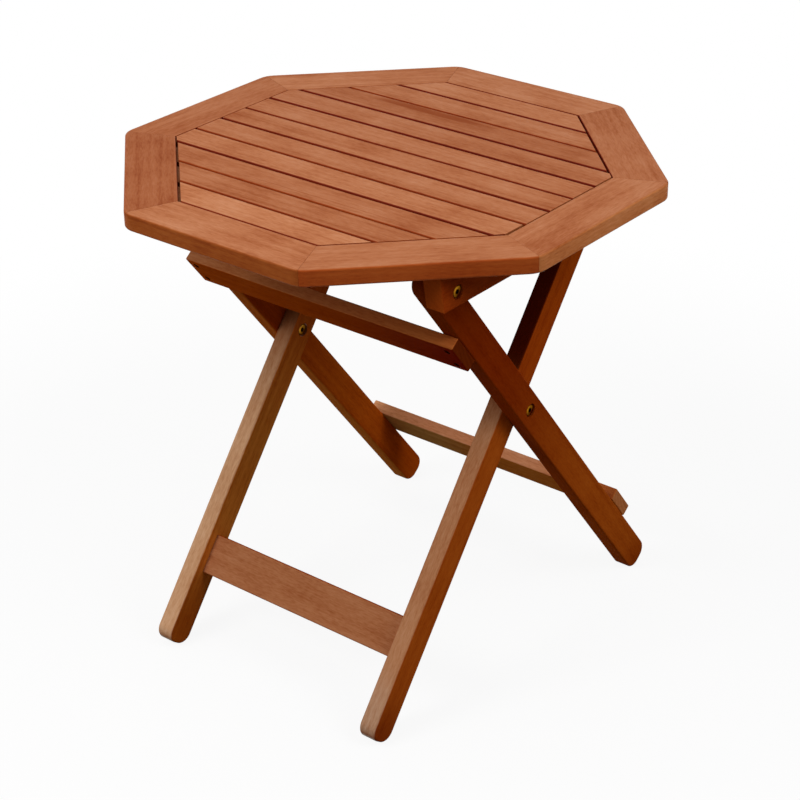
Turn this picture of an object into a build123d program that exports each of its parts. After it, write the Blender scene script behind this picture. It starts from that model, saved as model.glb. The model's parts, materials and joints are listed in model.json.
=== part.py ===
from build123d import *
import math
import os

# A folding bistro table with an octagonal slatted top on two crossed leg frames.
# X runs along the slats, Y from the front to the back and Z up, in millimetres.
# The origin lies on the floor under the centre of the top.

# Top
across_flats = 700.0
table_height = 711.0
top_thickness = 23.5
rim_width = 69.0
rim_corner_radius = 30.0
rim_edge_radius = 3.0
rim_inner_edge_radius = 1.5
mitre_gap = 0.3
slat_count = 11
slat_gap = 4.0
slat_end_gap = 1.2
slat_edge_radius = 2.2

# Legs, which share one section and one lean
clear_width = 352.0
leg_thickness = 27.0
leg_width = 44.2
leg_lean = 37.6
leg_set_shift = 12.4
leg_top_flat = 2.4
foot_radius = 18.0
leg_edge_radius = 3.0
joint_gap = 1.2

# Rails and stretcher, all cut from one board
rail_width = 58.0
rail_thickness = 18.0
rail_edge_radius = 2.0
upper_rail_drop = 92.8
lower_rail_foot_gap = 110.0
stretcher_foot_gap = 110.0
stretcher_recess = 15.0

# Battens under the top
cleat_thickness = 27.5
cleat_depth = 52.5
cleat_end_inset = 11.2
pivot_inset = 36.0
pivot_drop = 32.5
bearer_width = 26.0
bearer_leg_gap = 10.0
stop_length = 30.0
stop_depth = 22.0
batten_edge_radius = 2.0

# Round rod between the tops of the inner legs
rod_radius = 10.0
rod_socket_depth = 18.0
rod_clearance = 0.3

# Connector bolts and sleeve nuts
head_radius = 8.0
head_thickness = 2.0
head_chamfer = 0.5
head_recess = 1.5
counterbore_radius = 9.8
sleeve_radius = 4.5
shank_radius = 3.0
sleeve_end_gap = 6.0
shank_end_gap = 10.0
nut_floor = 4.0
socket_apothem = 2.2
socket_depth = 2.6
washer_radius = 9.0
washer_bore_clearance = 0.2
running_clearance = 0.05
end_play = 0.15

# Wood screws
screw_radius = 2.2
screw_head_radius = 4.0
screw_head_thickness = 2.5
screw_head_chamfer = 0.6
screw_tip = 5.0
screw_recess_radius = 4.5
screw_socket_apothem = 1.5
screw_socket_depth = 1.4
rail_screw_recess = 6.5
rail_screw_bite = 30.0
rail_screw_spacing = 33.0
cleat_screw_recess = 24.0
bearer_screw_recess = 6.0
top_screw_bite = 13.0
stop_screw_recess = 6.0
stop_screw_bite = 14.0
screw_end_margin = 8.0

# Dowels
dowel_radius = 4.0
mitre_dowel_length = 32.0
mitre_dowel_spacing = 36.0
slat_dowel_length = 24.0
stretcher_dowel_length = 36.0
stretcher_dowel_spacing = 27.0
dowel_end_room = 1.0
glue_gap = 0.1

# Heights and reaches of the top
rim_sides = 8
side_angle = 360.0 / rim_sides
half_angle = math.radians(side_angle / 2)
top_underside = table_height - top_thickness
top_middle = table_height - top_thickness / 2
rim_outer = across_flats / 2
rim_inner = rim_outer - rim_width
field_reach = rim_inner - slat_end_gap
slat_width = (2 * field_reach - (slat_count - 1) * slat_gap) / slat_count
slat_pitch = slat_width + slat_gap
slat_centres = [(index - (slat_count - 1) / 2) * slat_pitch for index in range(slat_count)]

# Places of the legs and battens across the table, from the middle outwards
inner_near = clear_width / 2
inner_far = inner_near + leg_thickness
outer_near = inner_far + joint_gap
outer_far = outer_near + leg_thickness
cleat_near = outer_far + joint_gap
cleat_far = cleat_near + cleat_thickness
cleat_middle = (cleat_near + cleat_far) / 2
bearer_far = inner_near - bearer_leg_gap
bearer_middle = bearer_far - bearer_width / 2


def octagon_half_width(apothem, offset):
    """Half the width of an octagon on a line that passes its centre at the given offset."""
    return min(apothem, apothem * math.sqrt(2) - abs(offset))


# Pivots seen from the side: top pivot, crossing and rod lie on one circle about the crossing
lean_sine = math.sin(math.radians(leg_lean))
lean_cosine = math.cos(math.radians(leg_lean))
leg_half = leg_width / 2
leg_top_radius = leg_half - leg_top_flat / 2
cleat_half_length = octagon_half_width(rim_outer, cleat_far) - cleat_end_inset
pivot_y = pivot_inset - cleat_half_length
pivot_z = top_underside - pivot_drop
crossing_y = leg_set_shift
crossing_reach = (crossing_y - pivot_y) / lean_sine
crossing_z = pivot_z - crossing_reach * lean_cosine
rod_y = 2 * crossing_y - pivot_y
rod_z = pivot_z
leg_top_reach = crossing_reach + leg_half
foot_arc_drop = foot_radius + (leg_half - foot_radius) * lean_sine
foot_reach = foot_radius + (crossing_z - foot_arc_drop) / lean_cosine

# Battens that ride on the rod, and the block behind it
bearer_depth = pivot_drop - rod_radius - rod_clearance
bearer_underside = top_underside - bearer_depth
stop_front = rod_y + rod_radius + rod_clearance
stop_back = stop_front + stop_length

# Holes and seats
hinge_hole_radius = sleeve_radius + running_clearance
counterbore_depth = head_thickness + head_recess
screw_hole_radius = screw_radius + glue_gap
dowel_hole_radius = dowel_radius + glue_gap
crossing_grip = outer_far - inner_near - 2 * counterbore_depth
pivot_grip = cleat_far - outer_near - 2 * counterbore_depth
rail_screw_length = rail_thickness - rail_screw_recess + rail_screw_bite
cleat_screw_length = cleat_depth - cleat_screw_recess + top_screw_bite
bearer_screw_length = bearer_depth - bearer_screw_recess + top_screw_bite
stop_screw_length = stop_depth - stop_screw_recess + stop_screw_bite

outer_down = (0, lean_sine, -lean_cosine)
inner_down = (0, -lean_sine, -lean_cosine)
sides = {"right": 1, "left": -1}

os.makedirs("parts", exist_ok=True)


def leg_plane(down, x):
    """Plane of a leg's side face: local X runs down the leg from the crossing, local Y to the back."""
    return Plane(origin=(x, crossing_y, crossing_z), x_dir=down, z_dir=(1, 0, 0))


def across_plane(x, y, z, outward):
    """Plane square to X at a point, with its normal on the outward side."""
    return Plane(origin=(x, y, z), x_dir=(0, 1, 0), z_dir=(outward, 0, 0))


def low_edge(side, near, far):
    """Lower X limit of a piece that spans near to far on one side of the table."""
    return near if side > 0 else -far


def board_plane(angle):
    """Plane of the top's underside, turned so that local X points out of one rim side."""
    return Plane.XY.offset(top_underside).rotated((0, 0, angle))


def mitre_dowel_planes(angle):
    """Planes at the dowels of the mitre that lies at an angle from the X axis, square to its face."""
    out = Vector(math.cos(math.radians(angle)), math.sin(math.radians(angle)), 0)
    along = Vector(-out.Y, out.X, 0)
    middle = (rim_inner + rim_outer) / 2 / math.cos(half_angle)
    reaches = (middle - mitre_dowel_spacing / 2, middle + mitre_dowel_spacing / 2)
    return [Plane(origin=out * reach + Vector(0, 0, top_middle), z_dir=along) for reach in reaches]


def slat_dowel_planes(y):
    """Planes at the two end dowels of the slat centred on y, square to X."""
    end = octagon_half_width(rim_inner - slat_end_gap / 2, y)
    return [across_plane(side * end, y, top_middle, side) for side in sides.values()]


def rail_screw_planes(drop, back_side):
    """Planes on a rail's outer face at its four screws, for a rail that starts at a drop from the pivot."""
    middle = drop - crossing_reach + rail_width / 2
    face = (leg_half + rail_thickness) * back_side
    planes = []
    for side in sides.values():
        leg = leg_plane(outer_down, side * (outer_near + outer_far) / 2)
        for step in (-1, 1):
            point = leg.from_local_coords(Vector(middle + step * rail_screw_spacing / 2, face, 0))
            planes.append(Plane(origin=point, x_dir=(1, 0, 0), z_dir=leg.y_dir * back_side))
    return planes


def batten_screw_planes(side, x, underside, stations):
    """Downward planes on the underside of a batten, one at each station along Y."""
    return [Plane(origin=(side * x, y, underside), x_dir=(1, 0, 0), z_dir=(0, 0, -1)) for y in stations]


def screwed_slats(x):
    """Centres of the slats that reach past a batten at x by the screw margin."""
    reach = x + screw_end_margin
    return [y for y in slat_centres if octagon_half_width(field_reach, abs(y) + slat_width / 2) > reach]


# Screw stations
upper_rail_planes = rail_screw_planes(upper_rail_drop, -1)
lower_rail_drop = crossing_reach + foot_reach - lower_rail_foot_gap - rail_width
lower_rail_planes = rail_screw_planes(lower_rail_drop, 1)
rim_station = (octagon_half_width(rim_inner, cleat_middle) + octagon_half_width(rim_outer, cleat_middle)) / 2
cleat_stations = screwed_slats(cleat_middle) + [-rim_station, rim_station]
bearer_stations = screwed_slats(bearer_middle)
stop_stations = [(stop_front + stop_back) / 2]

rim_names = {
    0: "rim_board_right",
    1: "rim_board_back_right",
    2: "rim_board_back",
    3: "rim_board_back_left",
    4: "rim_board_left",
    5: "rim_board_front_left",
    6: "rim_board_front",
    7: "rim_board_front_right",
}

# Rim boards: one octagonal ring with rounded edges, cut into eight at the mitres
for step, name in rim_names.items():
    angle = step * side_angle
    with BuildPart() as rim_board:
        with BuildSketch(board_plane(angle)) as ring:
            RegularPolygon(rim_outer, rim_sides, major_radius=False, rotation=side_angle / 2)
            fillet(ring.vertices(), rim_corner_radius)
            RegularPolygon(
                rim_inner, rim_sides, major_radius=False, rotation=side_angle / 2, mode=Mode.SUBTRACT
            )
        extrude(amount=top_thickness)
        flat_faces = rim_board.faces().filter_by(Plane.XY)
        outer_edges = [edge for face in flat_faces for edge in face.outer_wire().edges()]
        fillet(outer_edges, rim_edge_radius)
        flat_faces = rim_board.faces().filter_by(Plane.XY)
        inner_edges = [edge for face in flat_faces for wire in face.inner_wires() for edge in wire.edges()]
        fillet(inner_edges, rim_inner_edge_radius)
        with BuildSketch(board_plane(angle)):
            with BuildLine():
                apex = mitre_gap / 2 / math.sin(half_angle)
                half_side = across_flats * math.tan(half_angle)
                Polyline(
                    (apex, 0), (apex + across_flats, half_side), (apex + across_flats, -half_side), close=True
                )
            make_face()
        extrude(amount=top_thickness, mode=Mode.INTERSECT)
        for mitre in (angle - side_angle / 2, angle + side_angle / 2):
            with Locations(*mitre_dowel_planes(mitre)):
                Cylinder(dowel_hole_radius, mitre_dowel_length + 2 * dowel_end_room, mode=Mode.SUBTRACT)
        for slat_y in slat_centres:
            with Locations(*slat_dowel_planes(slat_y)):
                Cylinder(dowel_hole_radius, slat_dowel_length + 2 * dowel_end_room, mode=Mode.SUBTRACT)
        for side in sides.values():
            with Locations(
                *batten_screw_planes(side, cleat_middle, top_underside - cleat_depth, [-rim_station, rim_station])
            ):
                Hole(screw_hole_radius, cleat_depth + top_screw_bite + dowel_end_room)
    rim_board.part.label = name
    export_step(rim_board.part, f"parts/{name}.step")

# Slats, numbered from the front
for number, slat_y in enumerate(slat_centres, start=1):
    name = f"slat_{number:02d}"
    with BuildPart() as slat:
        with BuildSketch(Plane.XY.offset(top_underside)):
            RegularPolygon(field_reach, rim_sides, major_radius=False, rotation=side_angle / 2)
            with Locations((0, slat_y)):
                Rectangle(across_flats, slat_width, mode=Mode.INTERSECT)
        extrude(amount=top_thickness)
        fillet(slat.edges().filter_by(Axis.X), slat_edge_radius)
        with Locations(*slat_dowel_planes(slat_y)):
            Cylinder(dowel_hole_radius, slat_dowel_length + 2 * dowel_end_room, mode=Mode.SUBTRACT)
        for side in sides.values():
            if slat_y in cleat_stations:
                with Locations(*batten_screw_planes(side, cleat_middle, top_underside, [slat_y])):
                    Hole(screw_hole_radius, top_screw_bite + dowel_end_room)
            if slat_y in bearer_stations:
                with Locations(*batten_screw_planes(side, bearer_middle, top_underside, [slat_y])):
                    Hole(screw_hole_radius, top_screw_bite + dowel_end_room)
    slat.part.label = name
    export_step(slat.part, f"parts/{name}.step")

# Cleats that hang the top on the outer legs
for side_name, side in sides.items():
    name = f"cleat_{side_name}"
    with BuildPart() as cleat:
        with BuildSketch(Plane.XY.offset(top_underside - cleat_depth)):
            with Locations((side * cleat_middle, 0)):
                Rectangle(cleat_thickness, 2 * cleat_half_length)
        extrude(amount=cleat_depth)
        fillet(cleat.faces().sort_by(Axis.Z)[0].edges(), batten_edge_radius)
        with Locations(across_plane(side * cleat_far, pivot_y, pivot_z, side)):
            CounterBoreHole(hinge_hole_radius, counterbore_radius, counterbore_depth, depth=cleat_thickness)
        with Locations(
            *batten_screw_planes(side, cleat_middle, top_underside - cleat_depth, cleat_stations)
        ):
            CounterBoreHole(screw_hole_radius, screw_recess_radius, cleat_screw_recess, depth=cleat_depth)
    cleat.part.label = name
    export_step(cleat.part, f"parts/{name}.step")

# Bearers that ride on the rod
for side_name, side in sides.items():
    name = f"bearer_{side_name}"
    with BuildPart() as bearer:
        with BuildSketch(Plane.XY.offset(bearer_underside)):
            with Locations((side * bearer_middle, 0)):
                Rectangle(bearer_width, 2 * stop_back)
        extrude(amount=bearer_depth)
        fillet(bearer.faces().sort_by(Axis.Z)[0].edges().filter_by(Axis.Y), batten_edge_radius)
        with Locations(*batten_screw_planes(side, bearer_middle, bearer_underside, bearer_stations)):
            CounterBoreHole(screw_hole_radius, screw_recess_radius, bearer_screw_recess, depth=bearer_depth)
        with Locations(*batten_screw_planes(side, bearer_middle, bearer_underside, stop_stations)):
            Hole(screw_hole_radius, stop_screw_bite + dowel_end_room)
    bearer.part.label = name
    export_step(bearer.part, f"parts/{name}.step")

# Stop blocks behind the rod
for side_name, side in sides.items():
    name = f"stop_block_{side_name}"
    with BuildPart() as stop_block:
        with BuildSketch(Plane.XY.offset(bearer_underside - stop_depth)):
            with Locations((side * bearer_middle, (stop_front + stop_back) / 2)):
                Rectangle(bearer_width, stop_length)
        extrude(amount=stop_depth)
        fillet(stop_block.faces().sort_by(Axis.Z)[0].edges(), batten_edge_radius)
        with Locations(
            *batten_screw_planes(side, bearer_middle, bearer_underside - stop_depth, stop_stations)
        ):
            CounterBoreHole(screw_hole_radius, screw_recess_radius, stop_screw_recess, depth=stop_depth)
    stop_block.part.label = name
    export_step(stop_block.part, f"parts/{name}.step")

# Outer legs: hinged to the cleats at the top and to the inner legs at the crossing
for side_name, side in sides.items():
    name = f"outer_leg_{side_name}"
    with BuildPart() as outer_leg:
        with BuildSketch(leg_plane(outer_down, low_edge(side, outer_near, outer_far))) as profile:
            with Locations(((foot_reach - leg_top_reach) / 2, 0)):
                Rectangle(foot_reach + leg_top_reach, leg_width)
            fillet(profile.vertices().sort_by(Axis.X)[-2:], foot_radius)
            fillet(profile.vertices().sort_by(Axis.X)[:2], leg_top_radius)
        extrude(amount=leg_thickness)
        fillet(outer_leg.faces().filter_by(Axis.X).edges(), leg_edge_radius)
        with Locations(across_plane(side * outer_far, crossing_y, crossing_z, side)):
            CounterBoreHole(hinge_hole_radius, counterbore_radius, counterbore_depth, depth=leg_thickness)
        with Locations(across_plane(side * outer_near, pivot_y, pivot_z, -side)):
            CounterBoreHole(hinge_hole_radius, counterbore_radius, counterbore_depth, depth=leg_thickness)
        with Locations(*upper_rail_planes, *lower_rail_planes):
            Hole(screw_hole_radius, rail_thickness + rail_screw_bite + dowel_end_room)
    outer_leg.part.label = name
    export_step(outer_leg.part, f"parts/{name}.step")

# Inner legs: they carry the stretcher and the rod
stretcher_middle = foot_reach - stretcher_foot_gap - rail_width / 2
stretcher_offset = rail_thickness / 2 - leg_half + stretcher_recess
stretcher_dowel_points = []
for side in sides.values():
    stretcher_end = leg_plane(inner_down, side * inner_near)
    for step in (-1, 1):
        along = stretcher_middle + step * stretcher_dowel_spacing / 2
        point = stretcher_end.from_local_coords(Vector(along, stretcher_offset, 0))
        stretcher_dowel_points.append(across_plane(point.X, point.Y, point.Z, side))

for side_name, side in sides.items():
    name = f"inner_leg_{side_name}"
    with BuildPart() as inner_leg:
        with BuildSketch(leg_plane(inner_down, low_edge(side, inner_near, inner_far))) as profile:
            with Locations(((foot_reach - leg_top_reach) / 2, 0)):
                Rectangle(foot_reach + leg_top_reach, leg_width)
            fillet(profile.vertices().sort_by(Axis.X)[-2:], foot_radius)
            fillet(profile.vertices().sort_by(Axis.X)[:2], leg_top_radius)
        extrude(amount=leg_thickness)
        fillet(inner_leg.faces().filter_by(Axis.X).edges(), leg_edge_radius)
        with Locations(across_plane(side * inner_near, crossing_y, crossing_z, -side)):
            CounterBoreHole(hinge_hole_radius, counterbore_radius, counterbore_depth, depth=leg_thickness)
        with Locations(across_plane(side * inner_near, rod_y, rod_z, -side)):
            Hole(rod_radius + glue_gap, rod_socket_depth)
        with Locations(*stretcher_dowel_points):
            Cylinder(dowel_hole_radius, stretcher_dowel_length + 2 * dowel_end_room, mode=Mode.SUBTRACT)
    inner_leg.part.label = name
    export_step(inner_leg.part, f"parts/{name}.step")

# Rails across the outer legs: the upper one in front of them, the lower one behind
for name, drop, planes, back_side in (
    ("upper_rail", upper_rail_drop, upper_rail_planes, -1),
    ("lower_rail", lower_rail_drop, lower_rail_planes, 1),
):
    with BuildPart() as rail:
        with BuildSketch(leg_plane(outer_down, -outer_far)):
            rail_offset = (leg_half + rail_thickness / 2) * back_side
            with Locations((drop - crossing_reach + rail_width / 2, rail_offset)):
                Rectangle(rail_width, rail_thickness)
        extrude(amount=2 * outer_far)
        fillet(rail.edges(), rail_edge_radius)
        with Locations(*planes):
            CounterBoreHole(screw_hole_radius, screw_recess_radius, rail_screw_recess, depth=rail_thickness)
    rail.part.label = name
    export_step(rail.part, f"parts/{name}.step")

# Stretcher between the inner legs
with BuildPart() as stretcher:
    with BuildSketch(leg_plane(inner_down, -inner_near)):
        with Locations((stretcher_middle, stretcher_offset)):
            Rectangle(rail_width, rail_thickness)
    extrude(amount=2 * inner_near)
    fillet(stretcher.edges().filter_by(Axis.X), rail_edge_radius)
    with Locations(*stretcher_dowel_points):
        Cylinder(dowel_hole_radius, stretcher_dowel_length + 2 * dowel_end_room, mode=Mode.SUBTRACT)
stretcher.part.label = "stretcher"
export_step(stretcher.part, "parts/stretcher.step")

# Rod between the tops of the inner legs
with BuildPart() as top_rod:
    with BuildSketch(across_plane(0, rod_y, rod_z, 1)):
        Circle(rod_radius)
    extrude(amount=inner_near + rod_socket_depth - rod_clearance, both=True)
    chamfer(top_rod.edges().filter_by(GeomType.CIRCLE), head_chamfer)
top_rod.part.label = "top_rod"
export_step(top_rod.part, "parts/top_rod.step")


def connector_bolt(grip):
    """A flat-headed bolt for a stack of the given grip, its seat at Z 0 and its shank down."""
    with BuildPart() as bolt:
        Cylinder(head_radius, head_thickness, align=(Align.CENTER, Align.CENTER, Align.MIN))
        chamfer(bolt.edges().group_by(Axis.Z)[-1], head_chamfer)
        Cylinder(shank_radius, grip - shank_end_gap, align=(Align.CENTER, Align.CENTER, Align.MAX))
        with BuildSketch(Plane.XY.offset(head_thickness)):
            RegularPolygon(socket_apothem, 6, major_radius=False)
        extrude(amount=-socket_depth, mode=Mode.SUBTRACT)
    return bolt.part


def connector_nut(grip):
    """A sleeve nut for a stack of the given grip, its seat at Z 0 and its sleeve down."""
    sleeve_length = grip - sleeve_end_gap
    with BuildPart() as nut:
        Cylinder(head_radius, head_thickness, align=(Align.CENTER, Align.CENTER, Align.MIN))
        chamfer(nut.edges().group_by(Axis.Z)[-1], head_chamfer)
        Cylinder(sleeve_radius, sleeve_length, align=(Align.CENTER, Align.CENTER, Align.MAX))
        with BuildSketch(Plane.XY.offset(-sleeve_length)):
            Circle(shank_radius + running_clearance)
        extrude(amount=sleeve_length - nut_floor, mode=Mode.SUBTRACT)
        with BuildSketch(Plane.XY.offset(head_thickness)):
            RegularPolygon(socket_apothem, 6, major_radius=False)
        extrude(amount=-socket_depth, mode=Mode.SUBTRACT)
    return nut.part


def wood_screw(length):
    """A pan-headed screw, its head's underside at Z 0 and its point down."""
    with BuildPart() as screw:
        with BuildSketch(Plane.XZ):
            with BuildLine():
                Polyline(
                    (0, screw_head_thickness),
                    (screw_head_radius - screw_head_chamfer, screw_head_thickness),
                    (screw_head_radius, screw_head_thickness - screw_head_chamfer),
                    (screw_head_radius, 0),
                    (screw_radius, 0),
                    (screw_radius, screw_tip - length),
                    (0, -length),
                    close=True,
                )
            make_face()
        revolve(axis=Axis.Z)
        with BuildSketch(Plane.XY.offset(screw_head_thickness)):
            RegularPolygon(screw_socket_apothem, 6, major_radius=False)
        extrude(amount=-screw_socket_depth, mode=Mode.SUBTRACT)
    return screw.part


def dowel(length):
    """A short round dowel centred on the origin, along Z."""
    with BuildPart() as pin:
        Cylinder(dowel_radius, length)
        chamfer(pin.edges().filter_by(GeomType.CIRCLE), head_chamfer)
    return pin.part


def spacer_washer():
    """A flat washer centred on the origin that fills the gap between two hinged pieces."""
    with BuildPart() as washer:
        Cylinder(washer_radius, joint_gap - 2 * end_play)
        Cylinder(sleeve_radius + washer_bore_clearance, joint_gap, mode=Mode.SUBTRACT)
    return washer.part


# Where each connector, washer, screw and dowel goes
crossing = (crossing_y, crossing_z)
pivot = (pivot_y, pivot_z)
crossing_seat = outer_far - counterbore_depth
crossing_nut_seat = inner_near + counterbore_depth - end_play
pivot_seat = cleat_far - counterbore_depth + end_play
pivot_nut_seat = outer_near + counterbore_depth - end_play
cleat_screw_seat = top_underside - cleat_depth + cleat_screw_recess
bearer_screw_seat = bearer_underside + bearer_screw_recess
stop_screw_seat = bearer_underside - stop_depth + stop_screw_recess
mitre_angles = [(step + 0.5) * side_angle for step in range(rim_sides)]

hardware = {
    "crossing_bolts": (
        connector_bolt(crossing_grip),
        [across_plane(side * crossing_seat, *crossing, side) for side in sides.values()],
    ),
    "crossing_nuts": (
        connector_nut(crossing_grip),
        [across_plane(side * crossing_nut_seat, *crossing, -side) for side in sides.values()],
    ),
    "crossing_washers": (
        spacer_washer(),
        [across_plane(side * (inner_far + joint_gap / 2), *crossing, side) for side in sides.values()],
    ),
    "pivot_bolts": (
        connector_bolt(pivot_grip),
        [across_plane(side * pivot_seat, *pivot, side) for side in sides.values()],
    ),
    "pivot_nuts": (
        connector_nut(pivot_grip),
        [across_plane(side * pivot_nut_seat, *pivot, -side) for side in sides.values()],
    ),
    "pivot_washers": (
        spacer_washer(),
        [across_plane(side * (outer_far + joint_gap / 2), *pivot, side) for side in sides.values()],
    ),
    "upper_rail_screws": (
        wood_screw(rail_screw_length),
        [plane.offset(-rail_screw_recess) for plane in upper_rail_planes],
    ),
    "lower_rail_screws": (
        wood_screw(rail_screw_length),
        [plane.offset(-rail_screw_recess) for plane in lower_rail_planes],
    ),
    "cleat_screws": (
        wood_screw(cleat_screw_length),
        [
            plane
            for side in sides.values()
            for plane in batten_screw_planes(side, cleat_middle, cleat_screw_seat, cleat_stations)
        ],
    ),
    "bearer_screws": (
        wood_screw(bearer_screw_length),
        [
            plane
            for side in sides.values()
            for plane in batten_screw_planes(side, bearer_middle, bearer_screw_seat, bearer_stations)
        ],
    ),
    "stop_block_screws": (
        wood_screw(stop_screw_length),
        [
            plane
            for side in sides.values()
            for plane in batten_screw_planes(side, bearer_middle, stop_screw_seat, stop_stations)
        ],
    ),
    "mitre_dowels": (
        dowel(mitre_dowel_length),
        [plane for angle in mitre_angles for plane in mitre_dowel_planes(angle)],
    ),
    "slat_dowels": (
        dowel(slat_dowel_length),
        [plane for slat_y in slat_centres for plane in slat_dowel_planes(slat_y)],
    ),
    "stretcher_dowels": (dowel(stretcher_dowel_length), stretcher_dowel_points),
}

for name, (piece, planes) in hardware.items():
    with BuildPart() as group:
        with Locations(*planes):
            add(piece)
    group.part.label = name
    export_step(group.part, f"parts/{name}.step")
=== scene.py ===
"""Looks of a folding bistro table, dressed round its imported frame.

The boards of the frame keep their shapes and get the grain of an oiled hardwood. The cleats are the frame's
own with a sawn end, and geometry nodes make the slats and the fasteners anew. Lengths are in metres.
"""

import json
import logging
import math
from collections.abc import Callable
from dataclasses import dataclass, replace
from enum import Enum

import bmesh
import bpy
import numpy as np
from mathutils import Euler, Matrix, Vector


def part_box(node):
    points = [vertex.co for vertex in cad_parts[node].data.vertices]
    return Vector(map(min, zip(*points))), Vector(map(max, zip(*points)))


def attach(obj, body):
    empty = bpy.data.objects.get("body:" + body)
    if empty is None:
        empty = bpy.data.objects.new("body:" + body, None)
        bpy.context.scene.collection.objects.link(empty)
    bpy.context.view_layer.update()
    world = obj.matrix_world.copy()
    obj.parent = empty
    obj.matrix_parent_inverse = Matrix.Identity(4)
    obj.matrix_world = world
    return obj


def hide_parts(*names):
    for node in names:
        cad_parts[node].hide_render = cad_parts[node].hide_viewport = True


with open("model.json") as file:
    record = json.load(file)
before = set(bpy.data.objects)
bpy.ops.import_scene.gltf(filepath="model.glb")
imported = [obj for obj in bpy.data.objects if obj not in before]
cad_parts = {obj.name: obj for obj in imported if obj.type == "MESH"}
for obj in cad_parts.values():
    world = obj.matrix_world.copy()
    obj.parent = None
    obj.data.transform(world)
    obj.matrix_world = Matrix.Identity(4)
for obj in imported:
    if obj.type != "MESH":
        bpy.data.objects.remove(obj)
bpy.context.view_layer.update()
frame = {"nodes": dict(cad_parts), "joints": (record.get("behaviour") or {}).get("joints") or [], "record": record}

LOG = logging.getLogger("bistro_table")
MILLIMETRE = 0.001
OCTAGON_SLANT = math.sqrt(2)
HEXAGON_SIDES = 6

Pair = tuple[float, float]
Triple = tuple[float, float, float]
Colour = Triple

X_AXIS = Vector((1, 0, 0))
Y_AXIS = Vector((0, 1, 0))
Z_AXIS = Vector((0, 0, 1))


def rgba(colour: Colour) -> tuple[float, float, float, float]:
    """A colour with full opacity, as node sockets take it."""
    return (*colour, 1.0)


def tinted(colour: Colour, factors: Colour) -> Colour:
    """A colour with each channel multiplied by a factor."""
    return tuple(channel * factor for channel, factor in zip(colour, factors))


def blended(first: Colour, second: Colour, share: float) -> Colour:
    """A colour that lies a share of the way from the first to the second."""
    return tuple(a + (b - a) * share for a, b in zip(first, second))


WHITE = rgba((1.0, 1.0, 1.0))


def maths(operation: str, reflected: bool = False) -> Callable[..., "Signal"]:
    """Makes a method of a signal that adds a Math node.

    Args:
        operation: The node's operation.
        reflected: Whether the other value comes first.

    Returns:
        The method.
    """
    def method(signal: "Signal", *others: "Signal | float") -> "Signal":
        """Adds the node on a signal and on the other value, where the operation has one."""
        values = (*others, signal) if reflected else (signal, *others)
        return signal.sheet.node("ShaderNodeMath", {"operation": operation}, dict(enumerate(values)))

    return method


class Signal:
    """What a node's output socket carries. Operators on it add Math nodes to the same tree."""

    def __init__(self, sheet: "NodeSheet", socket: bpy.types.NodeSocket | None) -> None:
        """Wraps one output socket of a node on a sheet."""
        self.sheet = sheet
        self.socket = socket

    def pick(self, output: str) -> "Signal":
        """Another output of the same node."""
        return Signal(self.sheet, self.socket.node.outputs[output])

    __add__ = __radd__ = maths("ADD")
    __mul__ = __rmul__ = maths("MULTIPLY")
    __sub__ = maths("SUBTRACT")
    __rsub__ = maths("SUBTRACT", reflected=True)
    __truediv__ = maths("DIVIDE")
    __pow__ = maths("POWER")
    __abs__ = maths("ABSOLUTE")
    __gt__ = maths("GREATER_THAN")
    least = maths("MINIMUM")
    most = maths("MAXIMUM")
    whole_below = maths("FLOOR")


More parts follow.
